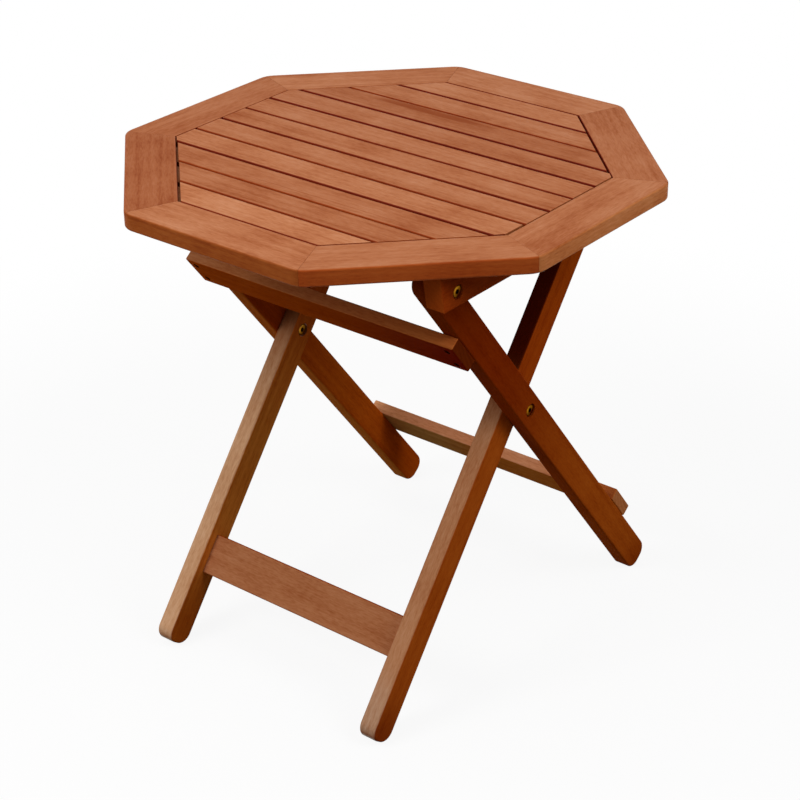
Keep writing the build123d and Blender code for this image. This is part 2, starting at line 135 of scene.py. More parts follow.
class NodeSheet:
    """A node tree under construction."""

    # The sockets of a Mix node that take and give colours.
    COLOUR_INPUTS = (6, 7)
    COLOUR_RESULT = 2

    def __init__(self, tree: bpy.types.NodeTree) -> None:
        """Starts on an empty tree."""
        tree.nodes.clear()
        self.tree = tree

    @classmethod
    def of(cls, owner: bpy.types.Material | bpy.types.World) -> "NodeSheet":
        """Starts on the nodes of a material or a world."""
        owner.use_nodes = True
        return cls(owner.node_tree)

    def node(
        self,
        kind: str,
        settings: dict[str, object] | None = None,
        sockets: dict[str | int, object] | None = None,
        output: str | int = 0,
    ) -> Signal:
        """Adds one node.

        Args:
            kind: The node's type.
            settings: The node's own settings, set first. A ramp's "stops" are pairs of place and colour.
            sockets: Values or signals for its input sockets, by name or number.
            output: The output that the result carries.

        Returns:
            The signal on that output, or an empty one if the node has no outputs.
        """
        made = self.tree.nodes.new(kind)
        for name, value in (settings or {}).items():
            if name == "stops":
                self._set_stops(made.color_ramp, value)
            else:
                setattr(made, name, value)
        for key, value in (sockets or {}).items():
            if isinstance(value, Signal):
                self.tree.links.new(value.socket, made.inputs[key])
            else:
                made.inputs[key].default_value = value
        return Signal(self, made.outputs[output] if len(made.outputs) else None)

    @staticmethod
    def _set_stops(ramp: bpy.types.ColorRamp, stops: list[tuple[float, Colour]]) -> None:
        """Gives a ramp its stops.

        Args:
            ramp: The ramp.
            stops: The place and the colour of each stop, in rising order.
        """
        while len(ramp.elements) < len(stops):
            ramp.elements.new(1.0)
        for element, (place, colour) in zip(ramp.elements, stops):
            element.position = place
            element.color = rgba(colour)

    def vector(self, operation: str, first: object, second: object, output: str = "Vector") -> Signal:
        """Adds a Vector Math node for one operation on two vectors."""
        return self.node("ShaderNodeVectorMath", {"operation": operation}, {0: first, 1: second}, output)

    def dot(self, first: object, second: object) -> Signal:
        """The dot product of two vectors."""
        return self.vector("DOT_PRODUCT", first, second, "Value")

    def parts(self, vector: Signal) -> tuple[Signal, Signal, Signal]:
        """The three parts of a vector."""
        split = self.node("ShaderNodeSeparateXYZ", sockets={0: vector})
        return split, split.pick("Y"), split.pick("Z")

    def joined(self, **parts: Signal | float) -> Signal:
        """A vector from its parts X, Y and Z, of which those left out are 0."""
        return self.node("ShaderNodeCombineXYZ", sockets=parts)

    def attribute(self, name: str, output: str = "Vector") -> Signal:
        """What a mesh keeps under a name, for its material."""
        return self.node("ShaderNodeAttribute", {"attribute_name": name}, output=output)

    def mixed(self, share: Signal | float, first: object, second: object) -> Signal:
        """A colour that lies a share of the way from the first to the second."""
        sockets = {0: share} | dict(zip(self.COLOUR_INPUTS, (first, second)))
        return self.node("ShaderNodeMix", {"data_type": "RGBA"}, sockets, self.COLOUR_RESULT)

    def step(self, value: Signal, low: float, high: float) -> Signal:
        """A soft step from 0 at the low value to 1 at the high one."""
        sockets = {"Value": value, "From Min": low, "From Max": high}
        return self.node("ShaderNodeMapRange", {"interpolation_type": "SMOOTHSTEP"}, sockets)


@dataclass(frozen=True)
class Arris:
    """How the sharp edges of a new piece are broken."""

    radius: float
    segments: int
    weighted: bool = False

    def round_off(self, piece: bpy.types.Object) -> None:
        """Adds the rounding, on the weighted edges or on all the sharp ones.

        Args:
            piece: The piece.
        """
        bevel = piece.modifiers.new("arris", "BEVEL")
        bevel.width = self.radius
        bevel.segments = self.segments
        bevel.limit_method = "WEIGHT" if self.weighted else "ANGLE"
        bevel.harden_normals = True


class ShapeSheet(NodeSheet):
    """A geometry nodes tree with named inputs, used to make one kind of repeated piece."""

    def __init__(self, name: str, sizes: tuple[str, ...], counts: tuple[str, ...]) -> None:
        """Starts a tree that also takes its seats and a material.

        Args:
            name: The tree's name.
            sizes: The names of its inputs for lengths and shares.
            counts: The names of its inputs for whole numbers.
        """
        super().__init__(bpy.data.node_groups.new(name, "GeometryNodeTree"))
        interface = self.tree.interface
        interface.new_socket("Pieces", in_out="OUTPUT", socket_type="NodeSocketGeometry")
        inputs = {"Seats": "Geometry"} | dict.fromkeys(sizes, "Float") | dict.fromkeys(counts, "Int")
        for label, kind in (inputs | {"Material": "Material"}).items():
            interface.new_socket(label, in_out="INPUT", socket_type="NodeSocket" + kind)
        self.inputs = self.node("NodeGroupInput", output="Seats")

    def named(self, kind: str, name: str) -> Signal:
        """What a seat keeps under a name."""
        return self.node("GeometryNodeInputNamedAttribute", {"data_type": kind}, {"Name": name})

    def close(self, pieces: Signal) -> None:
        """Ends the tree with its pieces made real and given their material.

        Args:
            pieces: The pieces.
        """
        real = self.node("GeometryNodeRealizeInstances", sockets={"Geometry": pieces})
        finish = self.inputs.pick("Material")
        dressed = self.node("GeometryNodeSetMaterial", sockets={"Geometry": real, "Material": finish})
        self.node("NodeGroupOutput", sockets={"Pieces": dressed})

    def grow(
        self,
        name: str,
        seats: bpy.types.Mesh,
        values: dict[str, object],
        arris: Arris,
    ) -> bpy.types.Object:
        """Runs the tree on a mesh of seats and keeps the result as a plain mesh.

        Args:
            name: The name of the new piece.
            seats: A mesh with one vertex for each copy.
            values: The values of the tree's named inputs.
            arris: How the edges are rounded.

        Returns:
            The new piece, at the origin and with no modifiers.
        """
        piece = bpy.data.objects.new(name, seats)
        bpy.context.scene.collection.objects.link(piece)
        modifier = piece.modifiers.new("shape", "NODES")
        modifier.node_group = self.tree
        for item in self.tree.interface.items_tree:
            if item.in_out == "INPUT" and item.name in values:
                modifier[item.identifier] = values[item.name]
        arris.round_off(piece)
        depsgraph = bpy.context.evaluated_depsgraph_get()
        evaluated = piece.evaluated_get(depsgraph)
        mesh = bpy.data.meshes.new_from_object(evaluated, preserve_all_data_layers=True, depsgraph=depsgraph)
        piece.modifiers.clear()
        piece.data = mesh
        mesh.name = name
        return piece


class BoardTone(Enum):
    """How pale a board of the same timber is, from 0 for the deepest to 1 for the palest."""

    UMBER = -0.25
    DEEP = 0.0
    WARM = 0.22
    EVEN = 0.40
    FAIR = 0.62
    PALE = 0.95


@dataclass(frozen=True)
class Shade:
    """A stretch along a board with painted light and shade: darker in the top's shadow and towards the floor,
    paler where more light falls.

    Fields:
        full: Where along the board, from its middle, the shade is full.
        clear: Where along the board it has gone.
        face: What it makes of the pale faces' colour.
        flank: What it makes of the other faces' colour.
    """

    full: float
    clear: float
    face: Colour = (1.0, 1.0, 1.0)
    flank: Colour = (1.0, 1.0, 1.0)


@dataclass(frozen=True)
class Board:
    """One board's own look within its timber.

    Fields:
        node: The node of the frame.
        tone: How pale its pale faces are.
        face: The colour of its pale faces, where the timber's tones don't have it.
        flank: The colour of its other faces, where it isn't the timber's usual one.
        end: The colour of its end grain, where it isn't the timber's usual one.
        shades: The stretches along it with painted light and shade.
        bored: How far from its middle line its counterbores reach, whose walls get painted shade.
    """

    node: str
    tone: BoardTone = BoardTone.EVEN
    face: Colour | None = None
    flank: Colour | None = None
    end: Colour | None = None
    shades: tuple[Shade, ...] = ()
    bored: float = 0.0


@dataclass(frozen=True)
class Grain:
    """How a board was cut from its log, and which of its faces is the pale one.

    Fields:
        origin: The board's middle.
        along: The direction of the grain.
        face: The direction that the wide face looks.
        pale: The direction that the pale faces look.
        offset: How far along the log the board was cut, so that no two look alike.
        pith: How far the heart of the log lies to the side of the middle line, and behind it.
        slant: How much the heart runs off sideways and backwards for each metre along the board.
        joint: The direction of the faces that are hidden in a joint, which get painted shade.
    """

    origin: Vector
    along: Vector
    face: Vector
    pale: Vector
    offset: float = 0.0
    pith: Pair = (0.055, 0.03)
    slant: Pair = (0.006, 0.012)
    joint: Vector | None = None

    def turn(self) -> Euler:
        """The rotation that lays X along the grain and Z out of the face."""
        across = self.face.cross(self.along)
        return Matrix((self.along, across, self.face)).transposed().to_euler()


@dataclass(frozen=True)
class Blemish:
    """A long dark mark in the timber of one slat, on the top face."""

    middle: Pair
    half_size: Pair
    depth: float


@dataclass(frozen=True)
class Timber:
    """Oiled reddish hardwood, with growth rings, fibre streaks and fine pores along each board.

    A pattern is its length along the grain, its width across it and its number of finer layers. Its depth is
    how much it changes the tone, and its relief how far it stands out. EVEN_TONE is the plain colour's tone,
    and RING_MEAN how dark the rings are on the whole.
    """

    EVEN_TONE = 0.5
    RING_MEAN = 0.2

    deep: Colour
    pale: Colour
    flank: Colour
    specular: float = 0.002
    roughness: float = 0.60
    dark_roughness: float = 0.25
    ring_pitch: float = 0.0075
    ring_sharpness: float = 3.0
    ring_depth: float = 0.16
    ring_relief: float = 0.3
    wander: Triple = (0.30, 0.04, 2.0)
    wander_reach: float = 0.014
    fibre: Triple = (0.011, 0.0022, 3.0)
    fibre_depth: float = 0.85
    fibre_relief: float = 0.5
    streak: Triple = (0.45, 0.010, 3.0)
    streak_depth: float = 0.70
    streak_relief: float = 0.3
    drift: Triple = (0.075, 0.060, 2.0)
    drift_depth: float = 0.6
    pore: Triple = (0.009, 0.00055, 1.0)
    pore_step: Pair = (0.10, 0.20)
    pore_depth: float = 0.16
    pore_relief: float = 0.6
    mark_fibre: float = 1.2
    end_fibre_depth: float = 0.5
    end_ring_share: float = 2.0
    shade_factors: Colour = (0.70, 0.50, 0.35)
    light_factors: Colour = (1.20, 1.42, 1.69)
    end_factors: Colour = (0.62, 0.52, 0.44)
    pale_step: Pair = (0.35, 0.9)
    joint_step: Pair = (0.3, 0.7)
    end_step: Pair = (0.75, 0.97)
    mark_step: Pair = (0.0, 0.9)
    relief: float = 0.0005
    relief_strength: float = 0.35

    @staticmethod
    def noise(sheet: NodeSheet, log: Signal, pattern: Triple) -> Signal:
        """Noise stretched along the grain.

        Args:
            sheet: The material's tree.
            log: Coordinates along, across and out of the log.
            pattern: The length, width and finer layers of the noise.

        Returns:
            A value about 0.
        """
        length, width, detail = pattern
        stretched = sheet.vector("MULTIPLY", log, (1 / length, 1 / width, 1 / width))
        sockets = {"Vector": stretched, "Scale": 1.0, "Detail": detail}
        return sheet.node("ShaderNodeTexNoise", sockets=sockets) - 0.5

    def late_wood(self, sheet: NodeSheet, spot: Signal, log: Signal, grain: Grain) -> Signal:
        """The dark edge of each growth ring.

        Args:
            sheet: The material's tree.
            spot: Coordinates along, across and out of the board, from its middle.
            log: The same in the whole log.
            grain: How the board was cut.

        Returns:
            A value from 0 to 1, uneven from ring to ring.
        """
        along = sheet.parts(spot)[0]
        _, across, out = sheet.parts(log)
        aside = across + grain.pith[0] + along * grain.slant[0]
        behind = out + grain.pith[1] + along * grain.slant[1]
        radius = (aside ** 2 + behind ** 2) ** 0.5
        ring = (radius + self.noise(sheet, log, self.wander) * self.wander_reach) / self.ring_pitch
        number = ring.whole_below()
        strength = sheet.node("ShaderNodeTexWhiteNoise", {"noise_dimensions": "1D"}, {"W": number}, "Value")
        within = ring - number
        return (within * (1 - within) * 4.0) ** self.ring_sharpness * strength

    def ramp(self, sheet: NodeSheet, tone: Signal, base: Colour) -> Signal:
        """The colour of the timber for a tone, darker and redder below the even tone and paler above it."""
        stops = [
            (0.0, tinted(base, self.shade_factors)),
            (self.EVEN_TONE, base),
            (1.0, tinted(base, self.light_factors)),
        ]
        return sheet.node("ShaderNodeValToRGB", {"stops": stops}, {"Fac": tone})

    def material(
        self,
        board: Board,
        grain: Grain,
        blemishes: tuple[Blemish, ...] = (),
        by_slat: bool = False,
    ) -> bpy.types.Material:
        """Makes the finish of one board, or of all the slats.

        Args:
            board: The board's own shade.
            grain: How the board was cut.
            blemishes: Dark marks on the top face.
            by_slat: Whether the place in the log and the tones come from the slats' own attributes.

        Returns:
            The material.
        """
        material = bpy.data.materials.new(board.node + "_timber")
        sheet = NodeSheet.of(material)
        place = sheet.node("ShaderNodeTexCoord", output="Object")
        sockets = {"Vector": place, "Location": grain.origin, "Rotation": grain.turn()}
        spot = sheet.node("ShaderNodeMapping", {"vector_type": "TEXTURE"}, sockets)
        shift = sheet.attribute(SlatField.SHIFT) if by_slat else (grain.offset, 0.0, 0.0)
        log = sheet.vector("ADD", spot, shift)

        fibre = self.noise(sheet, log, self.fibre)
        streak = self.noise(sheet, log, self.streak)
        drift = self.noise(sheet, log, self.drift)
        pore = sheet.step(self.noise(sheet, log, self.pore), *self.pore_step)
        late = self.late_wood(sheet, spot, log, grain)
        tone = self.EVEN_TONE + fibre * self.fibre_depth + streak * self.streak_depth
        tone = tone + drift * self.drift_depth - pore * self.pore_depth
        tone = tone - (late - self.RING_MEAN) * self.ring_depth
        for blemish in blemishes:
            tone = tone - self.mark(sheet, place, blemish) * (1 + fibre * self.mark_fibre)

        colour, other = self.colours(sheet, board, spot, tone, by_slat)
        normal = place.pick("Normal")
        # Painted shade on the faces hidden in a joint.
        if grain.joint:
            hidden = sheet.step(sheet.dot(normal, grain.joint), *self.joint_step)
            other = sheet.mixed(hidden, other, self.ramp(sheet, tone, JOINT_SHADE))
        facing = sheet.dot(normal, grain.pale)
        if by_slat:
            facing = abs(facing)
        colour = sheet.mixed(sheet.step(facing, *self.pale_step), other, colour)
        ending = sheet.step(abs(sheet.dot(normal, grain.along)), *self.end_step)
        end_tone = self.EVEN_TONE + fibre * self.end_fibre_depth
        end_tone = end_tone - late * (self.ring_depth * self.end_ring_share)
        end = board.end or tinted(board.flank or self.flank, self.end_factors)
        end_colour = self.ramp(sheet, end_tone, end)

        height = fibre * self.fibre_relief + streak * self.streak_relief
        height = height - pore * self.pore_relief - late * self.ring_relief
        sockets = {"Strength": self.relief_strength, "Distance": self.relief, "Height": height}
        shader = sheet.node("ShaderNodeBsdfPrincipled", sockets={
            "Base Color": sheet.mixed(ending, colour, end_colour),
            "Roughness": self.roughness + (self.EVEN_TONE - tone) * self.dark_roughness,
            "Specular IOR Level": self.specular,
            "Normal": sheet.node("ShaderNodeBump", sockets=sockets),
        })
        sheet.node("ShaderNodeOutputMaterial", sockets={"Surface": shader})
        return material

    def colours(
        self,
        sheet: NodeSheet,
        board: Board,
        spot: Signal,
        tone: Signal,
        by_slat: bool,
    ) -> tuple[Signal, Signal]:
        """The colours of a board's long faces, with its painted light and shade along it and the painted shade in
        its counterbores.

        Args:
            sheet: The material's tree.
            board: The board's own shade.
            spot: Coordinates along, across and out of the board, from its middle.
            tone: How pale the timber is from place to place.
            by_slat: Whether the boards' tones come from the slats' own attributes.

        Returns:
            The colour of the pale faces, and that of the others.
        """
        other = self.ramp(sheet, tone, board.flank or self.flank)
        if by_slat:
            pale_share, side_share = (
                sheet.attribute(name, "Fac") for name in (SlatField.TONE, SlatField.SIDE_TONE)
            )
            deep, pale = self.ramp(sheet, tone, self.deep), self.ramp(sheet, tone, self.pale)
            colour = sheet.mixed(pale_share, deep, pale)
            # The slats' sides in the gaps take painted shade, by their side tone.
            other = sheet.mixed(side_share, self.ramp(sheet, tone, JOINT_SHADE), other)
        else:
            face = board.face or blended(self.deep, self.pale, board.tone.value)
            colour = self.ramp(sheet, tone, face)
        along, across, _ = sheet.parts(spot)
        # Painted light and shade along the board.
        for shade in board.shades:
            clear = sheet.step(along, shade.full, shade.clear)
            colour = sheet.mixed(clear, sheet.vector("MULTIPLY", colour, shade.face), colour)
            other = sheet.mixed(clear, sheet.vector("MULTIPLY", other, shade.flank), other)
        # Painted shade on the counterbores' walls.
        if board.bored:
            bore_shade_share = sheet.step(abs(across), board.bored + MILLIMETRE, board.bored)
            colour = sheet.mixed(bore_shade_share, colour, self.ramp(sheet, tone, BORE_SHADE))
        return colour, other

    def mark(self, sheet: NodeSheet, place: Signal, blemish: Blemish) -> Signal:
        """A soft oval mark on the top.

        Args:
            sheet: The material's tree.
            place: Coordinates on the table.
            blemish: The mark's place, size and depth.

        Returns:
            A value that falls from the blemish's depth to 0.
        """
        x, y, _ = sheet.parts(place)
        along = (x - blemish.middle[0]) / blemish.half_size[0]
        across = (y - blemish.middle[1]) / blemish.half_size[1]
        return sheet.step(1.0 - along ** 2 - across ** 2, *self.mark_step) * blemish.depth


@dataclass(frozen=True)
class Metal:
    """A plated metal for fasteners, with turning marks, tarnished patches and painted light and shade.

    Fields:
        clean_and_highlight: The colour on the painted highlight, where it is bright and untarnished.
        tarnish_and_shade: The colour of its tarnish, which is also its painted shade.
        roughness: How matt it is where it is clean.
        head_radius: The radius of the fastener's head.
        glance: The tint of its reflections at glancing angles.
        highlight_side: The direction of the side that gets the painted highlight.
        socket_shade_step: Where the painted shade at the socket ends and where the head is fully bright, as shares
            of the radius.
        rim_shade_step: The same for the painted shade at the rim.
        patch: The size of the tarnished patches, and their number of finer layers.
        patch_step: The noise at which a patch begins and at which it is full.
        mark: The size of the turning marks, and their number of finer layers.
    """

    clean_and_highlight: Colour
    tarnish_and_shade: Colour
    roughness: float
    head_radius: float
    glance: Colour = (0.80, 0.40, 0.12)
    highlight_side: Triple = (0.0, -0.5, 0.5)
    highlight_level: float = 0.42
    socket_shade_step: Pair = (0.36, 0.50)
    rim_shade_step: Pair = (1.0, 0.78)
    patch: Pair = (0.0035, 4.0)
    patch_step: Pair = (0.40, 0.65)
    patch_depth: float = 0.5
    patch_matt: float = 0.18
    mark: Pair = (0.0004, 2.0)
    mark_matt: float = 0.1
    relief: float = 0.00006
    relief_strength: float = 0.3

    def material(self, name: str) -> bpy.types.Material:
        """Makes the finish.

        Args:
            name: The material's name.

        Returns:
            The material.
        """
        material = bpy.data.materials.new(name)
        sheet = NodeSheet.of(material)
        place = sheet.node("ShaderNodeTexCoord", output="Object")
        patch, marks = (
            sheet.node("ShaderNodeTexNoise", sockets={"Vector": place, "Scale": 1 / size, "Detail": detail})
            for size, detail in (self.patch, self.mark)
        )
        tarnish = sheet.step(patch, *self.patch_step)
        axis = sheet.attribute(FastenerSet.AXIS)
        offset = sheet.vector("SUBTRACT", place, sheet.attribute(FastenerSet.SEAT))
        reach = sheet.dot(offset, offset) - sheet.dot(offset, axis) ** 2
        share = reach.most(0.0) ** 0.5 / self.head_radius
        # Painted light: paler towards the highlight side, with painted shade in the socket and at the rim.
        side = sheet.dot(offset, self.highlight_side) / self.head_radius
        painted_light_and_tarnish = (side + self.highlight_level) * (1.0 - tarnish * self.patch_depth)
        painted_light_and_tarnish = painted_light_and_tarnish * sheet.step(share, *self.socket_shade_step) * sheet.step(share, *self.rim_shade_step)
        sockets = {"Strength": self.relief_strength, "Distance": self.relief, "Height": marks}
        shader = sheet.node("ShaderNodeBsdfPrincipled", sockets={
            "Base Color": sheet.mixed(painted_light_and_tarnish, rgba(self.tarnish_and_shade), rgba(self.clean_and_highlight)),
            "Metallic": 1.0,
            "Specular Tint": rgba(self.glance),
            "Roughness": self.roughness + tarnish * self.patch_matt + (marks - 0.5) * self.mark_matt,
            "Normal": sheet.node("ShaderNodeBump", sockets=sockets),
        })
        sheet.node("ShaderNodeOutputMaterial", sockets={"Surface": shader})
        return material


# Each timber's pale faces and deeper, redder flanks are partly the wood's own and partly painted shade on the
# faces turned from the lamps.
TOP_TIMBER = Timber(
    deep=(0.39, 0.118, 0.040),
    pale=(0.52, 0.189, 0.077),
    flank=(0.35, 0.079, 0.011),
    specular=0.09,
    drift_depth=0.95,
    pale_step=(0.55, 0.97),
)
# The slats' flanks are deeper and reach further round the rounded edges: painted shade in the gaps between them.
SLAT_TIMBER = replace(TOP_TIMBER, flank=(0.30, 0.042, 0.003), pale_step=(0.75, 0.99))
OUTER_TIMBER = Timber(deep=(0.38, 0.060, 0.002), pale=(0.65, 0.180, 0.020), flank=(0.46, 0.086, 0.006))
INNER_TIMBER = Timber(deep=(0.56, 0.26, 0.125), pale=(0.73, 0.40, 0.215), flank=(0.48, 0.090, 0.007))
RAIL_TIMBER = Timber(deep=(0.54, 0.175, 0.055), pale=(0.46, 0.17, 0.070), flank=(0.44, 0.070, 0.001))
BATTEN_TIMBER = Timber(
    deep=(0.34, 0.070, 0.007),
    pale=(0.44, 0.13, 0.03),
    flank=(0.38, 0.053, 0.005),
    ring_depth=0.06,
    end_factors=(1.25, 1.5, 1.7),
)
TONGUE_TIMBER = Timber(
    deep=(0.25, 0.075, 0.025),
    pale=(0.45, 0.19, 0.09),
    flank=(0.20, 0.05, 0.015),
    drift_depth=2.0,
)
DOWEL_TIMBER = Timber(deep=(0.50, 0.31, 0.16), pale=(0.66, 0.46, 0.27), flank=(0.58, 0.39, 0.22))
AGED_BRASS = Metal((0.42, 0.20, 0.030), (0.02, 0.006, 0.001), roughness=0.30, head_radius=8.0 * MILLIMETRE)
SCREW_STEEL = Metal((0.08, 0.062, 0.038), (0.02, 0.013, 0.008), roughness=0.34, head_radius=4.0 * MILLIMETRE)
# Painted shade in joints and in the gaps between the slats.
JOINT_SHADE = (0.16, 0.008, 0.0005)
# Painted shade on the walls of counterbores.
BORE_SHADE = (0.03, 0.004, 0.0005)
BRASS_ARRIS = Arris(1.0 * MILLIMETRE, 3)

# These boards' shades are painted: darker in the top's shadow and towards the floor, paler where more light falls.
OUTER_LEGS = (
    Board("outer_leg_left", BoardTone.PALE, flank=(0.60, 0.108, 0.006), shades=(
        Shade(-0.25, 0.15, (0.70, 0.55, 0.4), (0.60, 0.34, 0.18)),
        Shade(0.34, 0.20, flank=(0.82, 0.66, 0.4)),
    )),
    Board("outer_leg_right", BoardTone.DEEP, shades=(
        Shade(-0.22, 0.22, (0.70, 0.55, 0.4), (0.55, 0.31, 0.15)),
        Shade(0.43, 0.34, flank=(0.78, 0.65, 0.5)),
    )),
)
OUTER_RAILS = (
    Board("upper_rail", BoardTone.DEEP, end=(0.17, 0.024, 0.002), bored=22.0 * MILLIMETRE, shades=(
        Shade(0.26, -0.06, (1.2, 0.95, 0.6), (0.46, 0.11, 0.1)),
        Shade(-0.23, -0.12, (0.74, 0.85, 1.05)),
    )),
    Board(
        "lower_rail", face=(0.72, 0.285, 0.130), flank=(0.60, 0.172, 0.020), end=(0.60, 0.21, 0.07),
        shades=(
            Shade(0.205, 0.190, (0.69, 0.43, 0.21)),
            Shade(-0.23, -0.13, (1.14, 1.36, 1.4)),
            Shade(-0.15, 0.02, flank=(0.97, 1.55, 3.2)),
        ),
    ),
)
INNER_LEGS = (
    Board(
        "inner_leg_left", face=(0.68, 0.37, 0.197), flank=(0.67, 0.200, 0.025), end=(0.80, 0.66, 0.50),
        shades=(
            Shade(-0.18, 0.12, (0.16, 0.08, 0.05), (0.75, 0.40, 0.2)),
            Shade(-0.16, 0.02, (1.0, 0.50, 0.08)),
            Shade(0.39, 0.25, flank=(0.55, 0.36, 0.2)),
        ),
    ),
    Board("inner_leg_right", BoardTone.UMBER, end=(0.80, 0.68, 0.55), shades=(
        Shade(0.40, 0.30, (1.0, 1.25, 1.6)),
        Shade(-0.15, -0.01, (0.18, 0.06, 0.03), (0.88, 0.70, 0.45)),
        Shade(-0.13, -0.04, (1.0, 0.60, 0.20)),
        Shade(0.42, 0.33, flank=(0.65, 0.52, 0.5)),
    )),
)
INNER_BARS = (Board("stretcher", BoardTone.PALE), Board("top_rod", BoardTone.DEEP))


class FastenerKind(Enum):
    """What a fastener is, with the name of its shape."""

    BOLT = "connector_bolt"
    NUT = "sleeve_nut"
    SCREW = "wood_screw"
    DOWEL = "fluted_dowel"


@dataclass(frozen=True)
class Seat:
    """Where one fastener's head rests, the direction that it looks, and the fastener's sizes by name."""

    place: Vector
    axis: Vector
    sizes: dict[str, float]


def packed_body(node: str) -> str:
    """The body that a node of the frame belongs to."""
    bodies = frame["record"]["behaviour"]["bodies"]
    return next(body for body, nodes in bodies.items() if node in nodes)


def packed_slot(node: str) -> str:
    """The material slot that a node of the frame has in the record."""
    return next(part["material_slot"] for part in frame["record"]["subparts"] if part["node"] == node)


def joint_place(name: str) -> Vector:
    """The place of a joint's axis in the middle of the table."""
    return Vector(next(joint["pos_m"] for joint in frame["joints"] if joint["name"] == name))


def middle(node: str) -> Vector:
    """The middle of a node's box."""
    low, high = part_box(node)
    return (low + high) / 2


def settle(piece: bpy.types.Object, *nodes: str) -> None:
    """Lets a new piece stand for nodes of the frame, on their body.

    Args:
        piece: The new piece.
        nodes: The nodes that it replaces.
    """
    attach(piece, packed_body(nodes[0]))
    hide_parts(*nodes)
    packed_slot(nodes[0])
    LOG.info("made %s for %s, %d faces", piece.name, ", ".join(nodes), len(piece.data.polygons))


def dress(node: str, material: bpy.types.Material) -> None:
    """Gives a node of the frame its finish.

    Args:
        node: The node.
        material: Its finish.
    """
    for slot in frame["nodes"][node].material_slots:
        slot.material = material
    LOG.info("dressed %s in %s", node, material.name)


